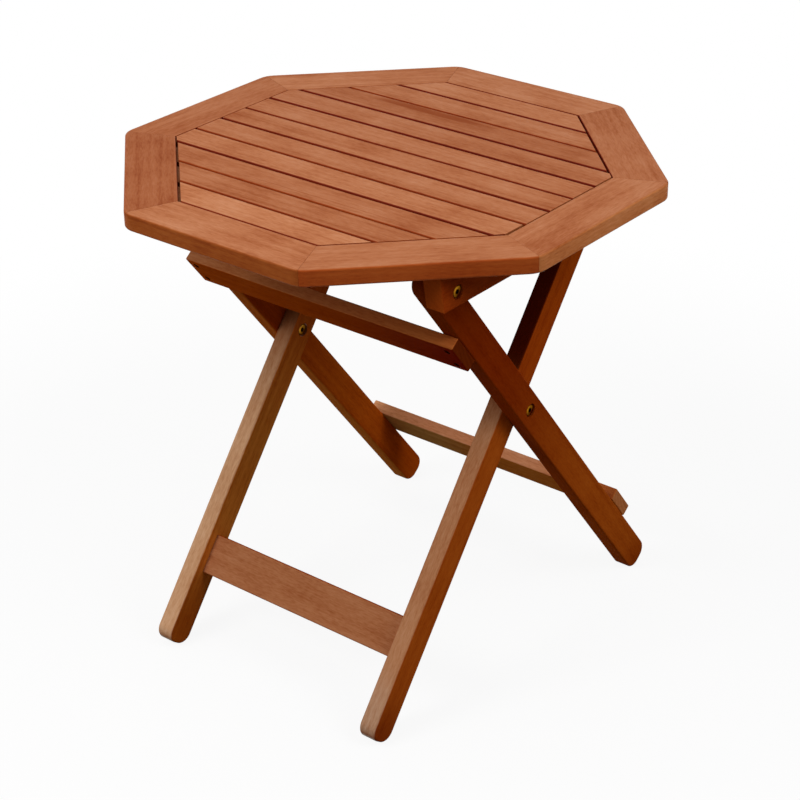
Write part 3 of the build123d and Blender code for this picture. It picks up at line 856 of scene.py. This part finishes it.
@dataclass
class FastenerSet:
    """The like fasteners of one node, with the heads, sockets and flutes of bought ones.

    Fields:
        node: The node of the frame that they stand for.
        kind: What they are.
        axis: The direction that their heads look, on the right of the table where they are mirrored.
        finish: Their material.
        mirrored: Whether those on the left look the other way.
        arris: How their edges are rounded.
        head_share: How much of the greatest radius counts as the head.
        slack: How far below the head the shank is measured.
        weld: How near each other the corners of a solid are the same.
    """

    SEAT = "seat"
    AXIS = "axis"

    node: str
    kind: FastenerKind
    axis: Vector
    finish: bpy.types.Material
    mirrored: bool = False
    arris: Arris = Arris(0.3 * MILLIMETRE, 2)
    socket_across: float = 5.6 * MILLIMETRE
    socket_depth: float = 2.2 * MILLIMETRE
    sides: int = 40
    flutes: int = 18
    flute_share: float = 0.92
    seed: int = 7
    head_share: float = 0.95
    slack: float = 0.05 * MILLIMETRE
    weld: float = 0.001 * MILLIMETRE
    sort_digits: int = 5

    def seats(self) -> list[Seat]:
        """Finds where each fastener of the node sits, from its separate solids.

        Returns:
            The seats, from left to right.
        """
        solids = bmesh.new()
        solids.from_mesh(frame["nodes"][self.node].data)
        bmesh.ops.remove_doubles(solids, verts=solids.verts, dist=self.weld)
        waiting = set(solids.verts)
        found = []
        while waiting:
            group = [waiting.pop()]
            for vertex in group:
                for edge in vertex.link_edges:
                    neighbour = edge.other_vert(vertex)
                    if neighbour in waiting:
                        waiting.remove(neighbour)
                        group.append(neighbour)
            found.append(self.seat(np.array([vertex.co for vertex in group])))
        solids.free()
        return sorted(found, key=lambda seat: tuple(round(value, self.sort_digits) for value in seat.place))

    def seat(self, points: np.ndarray) -> Seat:
        """Measures one fastener.

        Args:
            points: The corners of its solid.

        Returns:
            Its seat.
        """
        centre = (points.min(0) + points.max(0)) / 2
        axis = self.axis
        if self.kind is FastenerKind.DOWEL:
            spread = np.linalg.eigh(np.cov((points - centre).T))[1]
            axis = Vector(spread[:, -1])
        elif self.mirrored and centre[0] < 0:
            axis = -self.axis
        heights = (points - centre) @ np.array(axis)
        radii = np.linalg.norm(points - centre - np.outer(heights, np.array(axis)), axis=1)
        rest = heights[radii > self.head_share * radii.max()].min()
        shank = radii[heights < rest - self.slack]
        return Seat(Vector(centre) + axis * float(rest), axis, {
            "Head Radius": float(radii.max()),
            "Head Height": float(heights.max() - rest),
            "Shank Radius": float(shank.max()) if len(shank) else float(radii.max()),
            "Length": float(rest - heights.min()),
        })

    def build(self) -> None:
        """Makes the fasteners and lets them stand for their node."""
        seats = self.seats()
        mesh = bpy.data.meshes.new(self.node + "_seats")
        mesh.from_pydata([seat.place for seat in seats], [], [])
        for name in (self.SEAT, self.AXIS):
            mesh.attributes.new(name, "FLOAT_VECTOR", "POINT")
        for number, seat in enumerate(seats):
            mesh.attributes[self.SEAT].data[number].vector = seat.place
            mesh.attributes[self.AXIS].data[number].vector = seat.axis
        sizes = seats[0].sizes | {"Socket Across": self.socket_across, "Socket Depth": self.socket_depth}
        counts = {"Sides": self.sides, "Flutes": self.flutes, "Seed": self.seed}
        sheet = self.tree(tuple(sizes), tuple(counts))
        values = sizes | counts | {"Material": self.finish}
        settle(sheet.grow(self.node + "_set", mesh, values, self.arris), self.node)

    def tree(self, sizes: tuple[str, ...], counts: tuple[str, ...]) -> ShapeSheet:
        """Builds the geometry nodes that turn each seat into a fastener.

        Args:
            sizes: The names of the inputs for lengths.
            counts: The names of the inputs for whole numbers.

        Returns:
            The tree.
        """
        sheet = ShapeSheet(self.node + "_shape", sizes, counts)
        piece = self.dowel(sheet) if self.kind is FastenerKind.DOWEL else self.headed(sheet)
        axis = sheet.named("FLOAT_VECTOR", self.AXIS)
        upright = sheet.node("FunctionNodeAlignRotationToVector", {"axis": "Z"}, {"Vector": axis})
        # A Random Value node takes a number's range in sockets 2 and 3, and gives the number in output 1.
        random = {2: 0.0, 3: math.tau, "Seed": sheet.inputs.pick("Seed")}
        spin = sheet.node("FunctionNodeRandomValue", {"data_type": "FLOAT"}, random, 1)
        turns = {0: upright, 1: sheet.joined(Z=spin)}
        spun = sheet.node("FunctionNodeRotateRotation", {"rotation_space": "LOCAL"}, turns)
        sockets = {"Points": sheet.inputs, "Instance": piece, "Rotation": spun}
        sheet.close(sheet.node("GeometryNodeInstanceOnPoints", sockets=sockets))
        return sheet

    def headed(self, sheet: ShapeSheet) -> Signal:
        """A head with a hexagon socket on a plain shank.

        Args:
            sheet: The tree.

        Returns:
            The shape, with its seat at the origin.
        """
        pick = sheet.inputs.pick
        height, length, sides = pick("Head Height"), pick("Length"), pick("Sides")
        head = self.rod(sheet, pick("Head Radius"), height, height * 0.5, sides)
        shank = self.rod(sheet, pick("Shank Radius"), length, length * -0.5, sides)
        exact = {"solver": "EXACT"}
        whole = sheet.node("GeometryNodeMeshBoolean", exact | {"operation": "UNION"}, {"Mesh 2": head})
        # One socket takes all the meshes of a union, so the shank is linked beside the head.
        sheet.tree.links.new(shank.socket, whole.socket.node.inputs["Mesh 2"])
        across = pick("Socket Across") / math.sqrt(3)
        key = self.rod(sheet, across, pick("Socket Depth") * 2.0, height, HEXAGON_SIDES)
        cut = {"Mesh 1": whole, "Mesh 2": key}
        return sheet.node("GeometryNodeMeshBoolean", exact | {"operation": "DIFFERENCE"}, cut)

    def dowel(self, sheet: ShapeSheet) -> Signal:
        """A fluted dowel.

        Args:
            sheet: The tree.

        Returns:
            The shape, with one end at the origin.
        """
        pick = sheet.inputs.pick
        radius = pick("Head Radius")
        inner = radius * self.flute_share
        sockets = {"Points": pick("Flutes"), "Inner Radius": inner, "Outer Radius": radius}
        outline = sheet.node("GeometryNodeCurveStar", sockets=sockets)
        ends = {"Start": sheet.joined(Z=0.0), "End": sheet.joined(Z=pick("Head Height"))}
        line = sheet.node("GeometryNodeCurvePrimitiveLine", {"mode": "POINTS"}, ends)
        sockets = {"Curve": line, "Profile Curve": outline, "Fill Caps": True}
        return sheet.node("GeometryNodeCurveToMesh", sockets=sockets)

    @staticmethod
    def rod(sheet: ShapeSheet, radius: Signal, length: Signal, height: Signal, sides: Signal | int) -> Signal:
        """A round or many-sided rod along Z.

        Args:
            sheet: The tree.
            radius: Its radius, to its corners.
            length: Its length.
            height: The height of its middle.
            sides: How many sides it has.

        Returns:
            The shape.
        """
        sockets = {"Vertices": sides, "Radius": radius, "Depth": length}
        rod = sheet.node("GeometryNodeMeshCylinder", sockets=sockets, output="Mesh")
        sockets = {"Geometry": rod, "Translation": sheet.joined(Z=height)}
        return sheet.node("GeometryNodeTransform", sockets=sockets)


@dataclass
class SlatField:
    """The slats of the top, cut to the octagon inside the rim.

    Fields:
        tones: How pale each slat is, from the front to the back.
        side_tones: How pale each slat's sides are in the gaps between them, from the painted joint shade at 0 to
            the flank at 1.
        offsets: How far each slat sits behind its even place, in millimetres.
        left_cuts: How much short of the frame's slat each left end was cut, in millimetres.
        right_cuts: The same for the right ends.
        tongue_shoulder: How much narrower on each side the tongue at a slat's end is than the slat.
        tongue_reach: How far a tongue reaches past the end of the frame's slat, to the rim.
        sharp_angle: The angle, in radians, past which an edge is rounded.
        skew: How far along a slat an edge may run, for each length across it, and still be one of its ends.
        log_low: The least that a slat's place in the log is shifted.
        log_high: The most that it is shifted.
    """

    SHIFT = "board_shift"
    TONE = "board_tone"
    SIDE_TONE = "side_tone"
    LEFT_CUT = "left_cut"
    RIGHT_CUT = "right_cut"
    BLANK_LENGTH = 2.0

    tones: tuple[BoardTone, ...] = (
        BoardTone.PALE, BoardTone.WARM, BoardTone.WARM, BoardTone.FAIR, BoardTone.EVEN, BoardTone.EVEN,
        BoardTone.EVEN, BoardTone.WARM, BoardTone.DEEP, BoardTone.EVEN, BoardTone.FAIR,
    )
    side_tones: tuple[float, ...] = (0.3, 0.6, 0.9, 0.1, 0.6, 0.2, 0.3, 0.0, 0.0, 0.6, 0.0)
    offsets: tuple[float, ...] = (0.9, 0.2, -0.5, 0.0, -0.3, 0.2, -0.4, 0.1, 0.4, -0.5, -0.7)
    left_cuts: tuple[float, ...] = (3.0, 3.2, 2.2, 0.3, 0.0, 0.0, 0.0, 0.0, 0.0, 0.0, 0.0)
    right_cuts: tuple[float, ...] = (0.0, 0.0, 0.0, 2.0, 0.0, 0.0, 0.0, 0.4, 2.6, 3.0, 2.4)
    arris: Arris = Arris(2.2 * MILLIMETRE, 4, weighted=True)
    end_arris_share: float = 0.22
    tongue_thickness: float = 12.0 * MILLIMETRE
    tongue_shoulder: float = 4.0 * MILLIMETRE
    tongue_reach: float = 1.1 * MILLIMETRE
    tongue_arris: Arris = Arris(0.4 * MILLIMETRE, 1, weighted=True)
    cut_steps: int = 25
    sharp_angle: float = 0.6
    skew: float = 1.5
    log_low: Triple = (-3.0, -0.03, -0.03)
    log_high: Triple = (3.0, 0.03, 0.05)
    seed: int = 11

    def build(self, finish: bpy.types.Material, tongue_finish: bpy.types.Material) -> None:
        """Makes the slats with their tongues and lets them stand for the frame's plain ones.

        Args:
            finish: The slats' material.
            tongue_finish: The material of the tongues at their ends.
        """
        nodes = [f"slat_{number:02d}" for number in range(1, len(self.tones) + 1)]
        boxes = [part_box(node) for node in nodes]
        low, high = boxes[0]
        centres = [middle(node).y + offset * MILLIMETRE for node, offset in zip(nodes, self.offsets)]
        seats = bpy.data.meshes.new("slat_seats")
        seats.from_pydata([(0.0, y, (low.z + high.z) / 2) for y in centres], [], [])
        for name, numbers in (
            (self.TONE, [tone.value for tone in self.tones]),
            (self.SIDE_TONE, self.side_tones),
            (self.LEFT_CUT, [cut * MILLIMETRE for cut in self.left_cuts]),
            (self.RIGHT_CUT, [cut * MILLIMETRE for cut in self.right_cuts]),
        ):
            seats.attributes.new(name, "FLOAT", "POINT").data.foreach_set("value", numbers)
        reach = max(box[1].x for box in boxes)
        sizes = {
            "Slat Width": high.y - low.y,
            "Thickness": high.z - low.z,
            "Field Reach": reach,
            "Cut Share": 1.0,
            "End Arris": self.end_arris_share,
        }
        counts = {"Cut Steps": self.cut_steps, "Seed": self.seed}
        sheet = self.tree(tuple(sizes), tuple(counts))
        values = sizes | counts | {"Material": finish}
        tongue_values = values | {
            "Slat Width": high.y - low.y - 2 * self.tongue_shoulder,
            "Thickness": self.tongue_thickness,
            "Field Reach": reach + self.tongue_reach,
            "Cut Share": 0.0,
            "Material": tongue_finish,
        }
        tongues = sheet.grow("slat_tongues", seats.copy(), tongue_values, self.tongue_arris)
        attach(tongues, packed_body(nodes[0]))
        LOG.info("made %s, %d faces", tongues.name, len(tongues.data.polygons))
        settle(sheet.grow("slat_field", seats, values, self.arris), *nodes)

    def tree(self, sizes: tuple[str, ...], counts: tuple[str, ...]) -> ShapeSheet:
        """Builds the geometry nodes that lay a slat on each seat and cut it to the octagon.

        Args:
            sizes: The names of the inputs for lengths and shares.
            counts: The names of the inputs for whole numbers.

        Returns:
            The tree.
        """
        sheet = ShapeSheet("slat_shape", sizes, counts)
        pick = sheet.inputs.pick
        random = {0: self.log_low, 1: self.log_high, "Seed": pick("Seed")}
        shift = sheet.node("FunctionNodeRandomValue", {"data_type": "FLOAT_VECTOR"}, random)
        seats = self.store(sheet, sheet.inputs, "FLOAT_VECTOR", "POINT", self.SHIFT, shift)
        size = sheet.joined(X=self.BLANK_LENGTH, Y=pick("Slat Width"), Z=pick("Thickness"))
        sockets = {"Size": size, "Vertices X": 2, "Vertices Y": pick("Cut Steps"), "Vertices Z": 2}
        blank = sheet.node("GeometryNodeMeshCube", sockets=sockets, output="Mesh")
        laid = sheet.node("GeometryNodeInstanceOnPoints", sockets={"Points": seats, "Instance": blank})
        slats = sheet.node("GeometryNodeRealizeInstances", sockets={"Geometry": laid})
        sockets = {"Geometry": slats, "Position": self.cut(sheet)}
        slats = sheet.node("GeometryNodeSetPosition", sockets=sockets)
        sheet.close(self.store(sheet, slats, "FLOAT", "EDGE", "bevel_weight_edge", self.arris_weight(sheet)))
        return sheet

    def cut(self, sheet: ShapeSheet) -> Signal:
        """Cuts the ends of the slats' blanks to the octagon.

        Args:
            sheet: The tree.

        Returns:
            The new place of each corner.
        """
        reach = sheet.inputs.pick("Field Reach")
        end, y, z = sheet.parts(sheet.node("GeometryNodeInputPosition"))
        right = end > 0.0
        left_cut, right_cut = (sheet.named("FLOAT", name) for name in (self.LEFT_CUT, self.RIGHT_CUT))
        short = left_cut * (1 - right) + right_cut * right
        half = reach.least(reach * OCTAGON_SLANT - abs(y)) - short * sheet.inputs.pick("Cut Share")
        return sheet.joined(X=end * half, Y=y, Z=z)

    def arris_weight(self, sheet: ShapeSheet) -> Signal:
        """Chooses how much each edge is rounded.

        Args:
            sheet: The tree.

        Returns:
            Full along the slat, a little round its ends and none on flat faces.
        """
        sharp = sheet.node("GeometryNodeInputMeshEdgeAngle", output="Unsigned Angle") > self.sharp_angle
        ends = sheet.node("GeometryNodeInputMeshEdgeVertices", output="Position 1")
        x, y, z = sheet.parts(sheet.vector("SUBTRACT", ends, ends.pick("Position 2")))
        lengthwise = abs(x) > abs(y) * self.skew + abs(z)
        share = sheet.inputs.pick("End Arris")
        return sharp * (share + (1 - share) * lengthwise)

    @staticmethod
    def store(sheet: ShapeSheet, shape: Signal, kind: str, domain: str, name: str, value: Signal) -> Signal:
        """Adds a node that keeps a value on the geometry under a name."""
        sockets = {"Geometry": shape, "Name": name, "Value": value}
        return sheet.node("GeometryNodeStoreNamedAttribute", {"data_type": kind, "domain": domain}, sockets)


@dataclass(frozen=True)
class Cleat:
    """A cleat under the top, with its front end sawn at a slant.

    Fields:
        node: The node of the frame.
        slant: How much further back the end is at the bottom than at the top.
        end_length: The length of the end that is sawn.
    """

    node: str
    slant: float = 9.0 * MILLIMETRE
    end_length: float = 12.0 * MILLIMETRE

    def build(self, finish: bpy.types.Material) -> None:
        """Cuts the cleat from the frame's square one.

        Args:
            finish: Its material.
        """
        low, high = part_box(self.node)
        mesh = frame["nodes"][self.node].data.copy()
        for vertex in mesh.vertices:
            if vertex.co.y < low.y + self.end_length:
                vertex.co.y += self.slant * (high.z - vertex.co.z) / (high.z - low.z)
        mesh.materials.clear()
        mesh.materials.append(finish)
        piece = bpy.data.objects.new(self.node + "_sawn", mesh)
        bpy.context.scene.collection.objects.link(piece)
        settle(piece, self.node)


@dataclass
class TableTop:
    """The octagonal top: rim boards, slats, the battens under them and their screws and dowels.

    The rim boards take their piths by turns, and a spacing is how far apart along the log boards were cut.
    """

    # The right and front right boards' paler flanks are painted light on the sides facing the right.
    rim: tuple[Board, ...] = (
        Board("rim_board_right", BoardTone.EVEN, flank=(0.58, 0.185, 0.052)),
        Board("rim_board_back_right", BoardTone.WARM),
        Board("rim_board_back", BoardTone.FAIR),
        Board("rim_board_back_left", BoardTone.FAIR),
        Board("rim_board_left", BoardTone.WARM),
        Board("rim_board_front_left", BoardTone.UMBER),
        Board("rim_board_front", BoardTone.FAIR),
        Board("rim_board_front_right", BoardTone.EVEN, flank=(0.43, 0.076, 0.010)),
    )
    slats: Board = Board("slat_field", end=(0.38, 0.12, 0.035))
    tongues: Board = Board("slat_tongues")
    blemishes: tuple[Blemish, ...] = (
        Blemish((-0.06, 0.168), (0.13, 0.011), 0.55),
        Blemish((0.02, -0.165), (0.20, 0.0016), 0.34),
    )
    rim_piths: tuple[Pair, ...] = ((0.02, 0.04), (0.04, 0.04), (0.06, 0.04))
    rim_slant: Pair = (0.01, 0.03)
    rim_spacing: float = 3.0
    batten_spacing: float = 2.0

    def build(self, finishes: dict[str, bpy.types.Material]) -> None:
        """Makes the slats, screws and dowels.

        Args:
            finishes: The finishes of the fasteners, by slot.
        """
        grain = Grain(middle("slat_06"), X_AXIS, Z_AXIS, Z_AXIS)
        timber = SLAT_TIMBER.material(self.slats, grain, self.blemishes, by_slat=True)
        SlatField().build(timber, TONGUE_TIMBER.material(self.tongues, grain))
        for node in ("cleat_screws", "bearer_screws", "stop_block_screws"):
            FastenerSet(node, FastenerKind.SCREW, -Z_AXIS, finishes["screw_steel"]).build()
        for node in ("mitre_dowels", "slat_dowels"):
            FastenerSet(node, FastenerKind.DOWEL, X_AXIS, finishes["dowel_timber"]).build()

    def dress(self) -> None:
        """Gives the rim boards and the battens their grain, and the cleats their sawn ends."""
        for number, board in enumerate(self.rim):
            origin = middle(board.node)
            outward = Vector((origin.x, origin.y, 0)).normalized()
            pith = self.rim_piths[number % len(self.rim_piths)]
            offset = self.rim_spacing * number
            along = Z_AXIS.cross(outward)
            grain = Grain(origin, along, Z_AXIS, Z_AXIS, offset, pith, self.rim_slant, joint=-outward)
            dress(board.node, TOP_TIMBER.material(board, grain))
        for number, piece in enumerate(("cleat", "bearer", "stop_block")):
            for side, sign in (("left", -1), ("right", 1)):
                board = Board(f"{piece}_{side}", BoardTone.DEEP)
                offset = self.batten_spacing * number + sign
                grain = Grain(middle(board.node), Y_AXIS, X_AXIS * sign, -Z_AXIS, offset)
                finish = BATTEN_TIMBER.material(board, grain)
                if piece == "cleat":
                    Cleat(board.node).build(finish)
                else:
                    dress(board.node, finish)


@dataclass
class LegFrame:
    """One of the two crossed leg frames: a left and a right leg, and the boards that run across them.

    Fields:
        legs: The left leg and the right one.
        timber: The legs' timber.
        down: The direction down the legs.
        front: The direction that the legs' front edges look, which are their pale faces.
        cross_boards: The boards that run across the legs.
        cross_pale: The direction that the pale faces of those boards look.
        leg_spacing: How far apart along the log the legs were cut.
        cross_start: How far along the log the first of the boards across them was cut.
    """

    legs: tuple[Board, Board]
    timber: Timber
    down: Vector
    front: Vector
    cross_boards: tuple[Board, Board]
    cross_pale: Vector
    leg_piths: tuple[Pair, Pair] = ((0.04, 0.05), (0.04, 0.07))
    leg_spacing: float = 2.0
    cross_pith: Pair = (0.02, 0.05)
    cross_start: float = 2.5

    def dress(self) -> None:
        """Gives the legs and the boards across them their grain."""
        for number, (leg, sign) in enumerate(zip(self.legs, (-1, 1))):
            offset, pith = self.leg_spacing * number, self.leg_piths[number]
            grain = Grain(middle(leg.node), self.down, X_AXIS * sign, self.front, offset, pith)
            dress(leg.node, self.timber.material(leg, grain))
        for number, board in enumerate(self.cross_boards):
            offset = self.cross_start + number
            grain = Grain(middle(board.node), X_AXIS, self.front, self.cross_pale, offset, self.cross_pith)
            dress(board.node, RAIL_TIMBER.material(board, grain))


@dataclass(frozen=True)
class Lamp:
    """A soft square lamp."""

    name: str
    place: Triple
    aim: Triple
    size: float
    power: float

    def hang(self) -> None:
        """Adds the lamp to the studio."""
        light = bpy.data.lights.new(self.name, "AREA")
        light.size = self.size
        light.energy = self.power
        lamp = bpy.data.objects.new(self.name, light)
        lamp.location = self.place
        look = Vector(self.aim) - Vector(self.place)
        lamp.rotation_euler = look.to_track_quat("-Z", "Y").to_euler()
        bpy.context.scene.collection.objects.link(lamp)
        LOG.info("hung %s", self.name)


@dataclass(frozen=True)
class Studio:
    """A white studio: the camera that was solved from the photograph, a floor, a world and soft lamps."""

    azimuth: float = 38.999
    elevation: float = 28.251
    roll: float = -0.834
    target: Triple = (0.10124, -0.10712, 0.42)
    distance: float = 2.70836
    focal_pixels: float = 2022.38
    frame_pixels: float = 800.0
    sensor_width: float = 36.0
    floor_size: float = 60.0
    floor_grey: float = 0.20
    shadow_share: float = 0.10
    shadow_reach: Pair = (0.7, 1.5)
    ambient: float = 0.22
    lamps: tuple[Lamp, ...] = (
        Lamp("key_lamp", (-0.4, -0.3, 2.7), (0.0, 0.0, 0.5), 2.2, 17.0),
        Lamp("right_lamp", (2.1, 0.2, 2.3), (0.0, 0.0, 0.5), 1.4, 26.0),
        Lamp("front_lamp", (-0.9, -2.2, 2.3), (0.0, 0.0, 0.4), 1.2, 36.0),
    )

    def build(self) -> None:
        """Adds the camera, the floor, the world and the lamps."""
        self.add_camera()
        self.add_floor()
        self.add_world()
        for lamp in self.lamps:
            lamp.hang()
        bpy.context.scene.view_settings.view_transform = "Standard"

    def add_camera(self) -> None:
        """Adds the camera at the photograph's place."""
        angles = (self.azimuth, self.elevation, self.roll)
        azimuth, elevation, roll = (math.radians(angle) for angle in angles)
        level = math.cos(elevation)
        back = Vector((math.sin(azimuth) * level, -math.cos(azimuth) * level, math.sin(elevation)))
        right = Vector((math.cos(azimuth), math.sin(azimuth), 0.0))
        up = back.cross(right)
        turned_right = right * math.cos(roll) + up * math.sin(roll)
        turned_up = up * math.cos(roll) - right * math.sin(roll)
        data = bpy.data.cameras.new("photo_camera")
        data.sensor_width = self.sensor_width
        data.lens = self.focal_pixels / self.frame_pixels * self.sensor_width
        camera = bpy.data.objects.new("photo_camera", data)
        turn = Matrix((turned_right, turned_up, back)).transposed().to_4x4()
        camera.matrix_world = Matrix.Translation(Vector(self.target) + back * self.distance) @ turn
        bpy.context.scene.collection.objects.link(camera)
        bpy.context.scene.camera = camera

    @staticmethod
    def seen(sheet: NodeSheet) -> Signal:
        """One where a surface is seen directly or in a reflection, else zero."""
        path = sheet.node("ShaderNodeLightPath", output="Is Camera Ray")
        return path.most(path.pick("Is Glossy Ray")).most(path.pick("Is Transmission Ray"))

    def add_floor(self) -> None:
        """Adds a floor that looks white and keeps the table's shadow."""
        low, high = -self.floor_size / 2, self.floor_size / 2
        corners = [(low, low, 0), (high, low, 0), (high, high, 0), (low, high, 0)]
        mesh = bpy.data.meshes.new("floor")
        mesh.from_pydata(corners, [], [(0, 1, 2, 3)])
        floor = bpy.data.objects.new("floor", mesh)
        bpy.context.scene.collection.objects.link(floor)
        material = bpy.data.materials.new("floor_paper")
        sheet = NodeSheet.of(material)
        seen = self.seen(sheet)
        place = sheet.node("ShaderNodeTexCoord", output="Object")
        distance = sheet.node("ShaderNodeVectorMath", {"operation": "LENGTH"}, {0: place}, "Value")
        white = 1.0 - self.shadow_share * (1.0 - sheet.step(distance, *self.shadow_reach))
        colour = sheet.mixed(seen, rgba((self.floor_grey,) * 3), WHITE)
        paper = sheet.node("ShaderNodeBsdfDiffuse", sockets={"Color": colour})
        glow = sheet.node("ShaderNodeEmission", sockets={"Color": WHITE, "Strength": 1.0})
        both = sheet.node("ShaderNodeMixShader", sockets={0: seen * white, 1: paper, 2: glow})
        sheet.node("ShaderNodeOutputMaterial", sockets={"Surface": both})
        mesh.materials.append(material)

    def add_world(self) -> None:
        """Adds a world that looks white and lights evenly."""
        world = bpy.data.worlds.new("studio")
        bpy.context.scene.world = world
        sheet = NodeSheet.of(world)
        soft, plain = (
            sheet.node("ShaderNodeBackground", sockets={"Color": WHITE, "Strength": strength})
            for strength in (self.ambient, 1.0)
        )
        both = sheet.node("ShaderNodeMixShader", sockets={0: self.seen(sheet), 1: soft, 2: plain})
        sheet.node("ShaderNodeOutputWorld", sockets={"Surface": both})


def main() -> None:
    """Builds and dresses the table, part by part, and sets it in the studio."""
    logging.basicConfig(level=logging.INFO, format="%(message)s")
    outer_down = (joint_place("leg_fold") - joint_place("top_follow")).normalized()
    inner_down = Vector((0, -outer_down.y, outer_down.z))
    outer_front = outer_down.cross(X_AXIS)
    inner_front = inner_down.cross(X_AXIS)
    dowel_grain = Grain(Vector((0, 0, 0)), X_AXIS, Z_AXIS, Z_AXIS)
    finishes = {
        "aged_brass": AGED_BRASS.material("aged_brass"),
        "screw_steel": SCREW_STEEL.material("screw_steel"),
        "dowel_timber": DOWEL_TIMBER.material(Board("dowel"), dowel_grain),
    }

    top = TableTop()
    top.build(finishes)
    top.dress()
    LegFrame(OUTER_LEGS, OUTER_TIMBER, outer_down, outer_front, OUTER_RAILS, -outer_down).dress()
    LegFrame(INNER_LEGS, INNER_TIMBER, inner_down, inner_front, INNER_BARS, inner_front).dress()
    for node, kind, axis in (
        ("crossing_bolts", FastenerKind.BOLT, X_AXIS),
        ("crossing_nuts", FastenerKind.NUT, -X_AXIS),
        ("pivot_bolts", FastenerKind.BOLT, X_AXIS),
        ("pivot_nuts", FastenerKind.NUT, -X_AXIS),
    ):
        FastenerSet(node, kind, axis, finishes["aged_brass"], mirrored=True, arris=BRASS_ARRIS).build()
    for node, axis in (("upper_rail_screws", outer_front), ("lower_rail_screws", -outer_front)):
        FastenerSet(node, FastenerKind.SCREW, axis, finishes["screw_steel"]).build()
    FastenerSet("stretcher_dowels", FastenerKind.DOWEL, X_AXIS, finishes["dowel_timber"]).build()
    for node in ("crossing_washers", "pivot_washers"):
        dress(node, finishes["screw_steel"])
    Studio().build()


if __name__ == "__main__":
    main()
